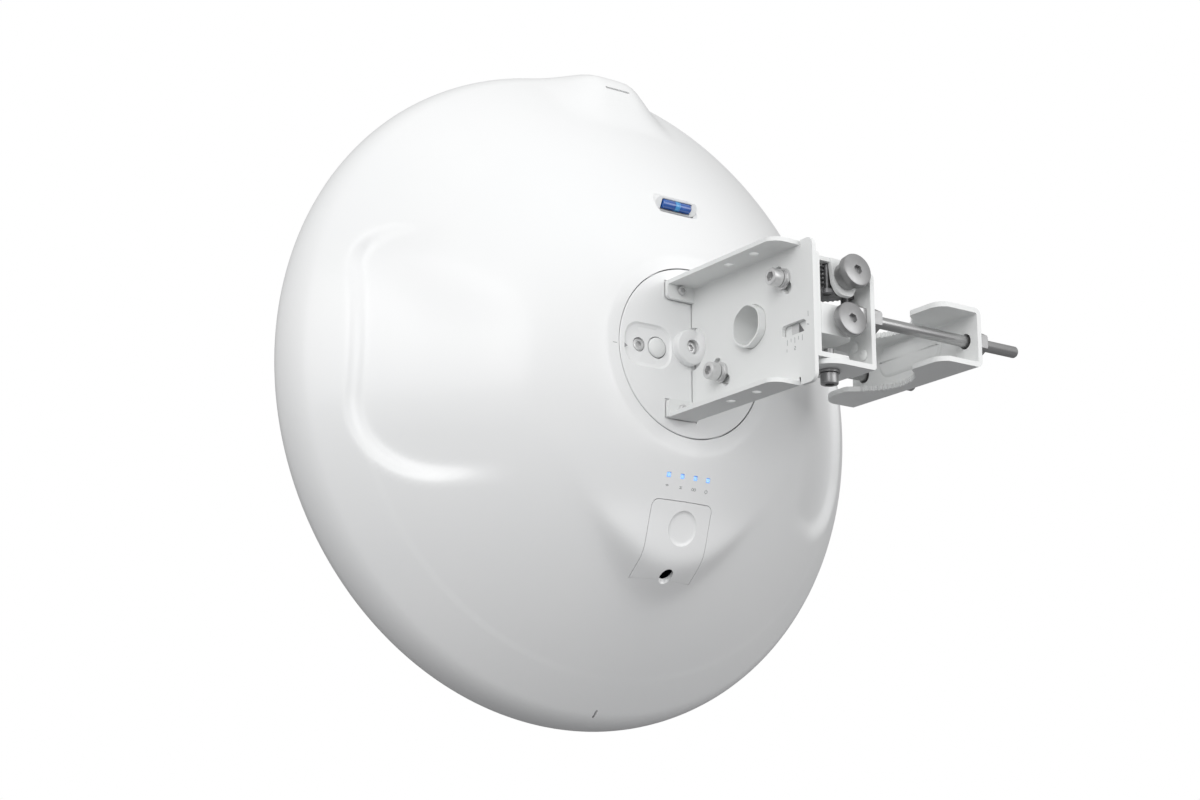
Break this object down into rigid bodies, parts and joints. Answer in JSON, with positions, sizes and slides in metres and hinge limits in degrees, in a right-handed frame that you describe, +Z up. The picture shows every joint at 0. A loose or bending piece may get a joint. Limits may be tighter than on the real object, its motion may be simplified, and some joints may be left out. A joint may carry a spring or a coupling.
{
  "type": "dish radio antenna",
  "caption": "Shallow covered dish antenna with a white domed back shell, a geared two-axis bracket and a clamp for a vertical pole.",
  "frame": {"origin": "centre of the pole seat, on the pole bracket's flat outer face midway between the two clamp rods", "axes": "+X towards the pole and the clamp, +Y the way the dish looks, +Z up"},
  "size_m": [0.412, 0.2591, 0.412],
  "materials": {
    "shell_white": "smooth satin-gloss white moulding",
    "coat_white": "fine matt white powder coat",
    "steel": "zinc-plated steel, satin",
    "dark_steel": "dark oiled steel",
    "aluminium": "plain rolled aluminium",
    "feed_plastic": "plain white moulding",
    "black_plastic": "plain black moulding",
    "rubber": "matt black rubber",
    "circuit_board": "green solder mask",
    "led_blue": "clear blue lens, lit",
    "vial_blue": "clear vial with blue liquid"
  },
  "bodies": {
    "pole_mount": {"pole_bracket": "coat_white", "clamp_rod_near": "steel", "clamp_rod_far": "steel", "rod_nut_near": "steel", "rod_nut_far": "steel", "bracket_rivet_1": "steel", "bracket_rivet_2": "steel", "azimuth_gear": "dark_steel", "azimuth_washer": "steel", "azimuth_lock_bolt": "steel"},
    "clamp": {"clamp_bracket": "coat_white", "clamp_washer_near": "steel", "clamp_washer_far": "steel", "clamp_nut_near": "steel", "clamp_nut_far": "steel"},
    "yoke": {"yoke_bracket": "coat_white", "index_plate": "coat_white", "azimuth_pin": "dark_steel", "elevation_housing": "coat_white", "upper_lock_washers": "steel", "upper_lock_bolt": "steel", "upper_lock_nut": "steel", "lower_lock_washers": "steel", "lower_lock_bolt": "steel", "lower_lock_nut": "steel"},
    "azimuth_adjuster": {"azimuth_knob": "steel", "azimuth_worm": "dark_steel"},
    "elevation_adjuster": {"elevation_knob": "steel", "elevation_worm": "dark_steel"},
    "dish_bracket": {"main_bracket": "coat_white", "foot_screw_upper": "steel", "foot_screw_lower": "steel", "pivot_bushing": "coat_white", "elevation_wheel": "dark_steel", "hub_disc": "shell_white", "vent_plug": "coat_white", "disc_screw": "steel", "centre_screw": "steel", "disc_retainer": "aluminium"},
    "dish": {"rear_shell": "shell_white", "front_radome": "shell_white", "radome_seal": "rubber", "reflector": "aluminium", "feed_tube": "aluminium", "feed_horn": "feed_plastic", "subreflector": "aluminium", "radio_chassis": "aluminium", "radio_board": "circuit_board", "shield_can": "steel", "data_jack": "black_plastic", "cable_gland": "rubber", "level_vial": "vial_blue", "vial_cradle": "coat_white", "led_lens_1": "led_blue", "led_lens_2": "led_blue", "led_lens_3": "led_blue", "led_lens_4": "led_blue"},
    "cover": {"port_cover": "shell_white"}
  },
  "joints": [
    {"name": "azimuth", "type": "hinge", "parent": "pole_mount", "child": "yoke", "pos_m": [-0.0215, -0.03875, 0], "axis": [0, 0, 1], "range_deg": [-7, 4]},
    {"name": "elevation", "type": "hinge", "parent": "yoke", "child": "dish_bracket", "pos_m": [-0.0385, 0.00355, 0.0005], "axis": [1, 0, 0], "range_deg": [-11, 11]},
    {"name": "level_trim", "type": "hinge", "parent": "dish_bracket", "child": "dish", "pos_m": [-0.0415, 0.05965, -0.0018], "axis": [0, 1, 0], "range_deg": [-10, 10]},
    {"name": "azimuth_turn", "type": "hinge", "parent": "yoke", "child": "azimuth_adjuster", "pos_m": [-0.014, -0.05655, 0.0229], "axis": [0, -0.989, 0.1478], "range_deg": [-210, 210]},
    {"name": "elevation_turn", "type": "hinge", "parent": "yoke", "child": "elevation_adjuster", "pos_m": [-0.0195, -0.05765, -0.0062], "axis": [0, -0.989, 0.1478], "range_deg": [-242, 242]},
    {"name": "clamp_slide", "type": "slide", "parent": "pole_mount", "child": "clamp", "axis": [1, 0, 0], "range_m": [-0.012, 0.025]},
    {"name": "cover_slide", "type": "slide", "parent": "dish", "child": "cover", "axis": [0, -0.6, -0.8], "range_m": [0, 0.025]}
  ],
  "couplings": [
    {"joint": "azimuth_turn", "follows": "azimuth", "ratio": 30},
    {"joint": "elevation_turn", "follows": "elevation", "ratio": 22}
  ]
}
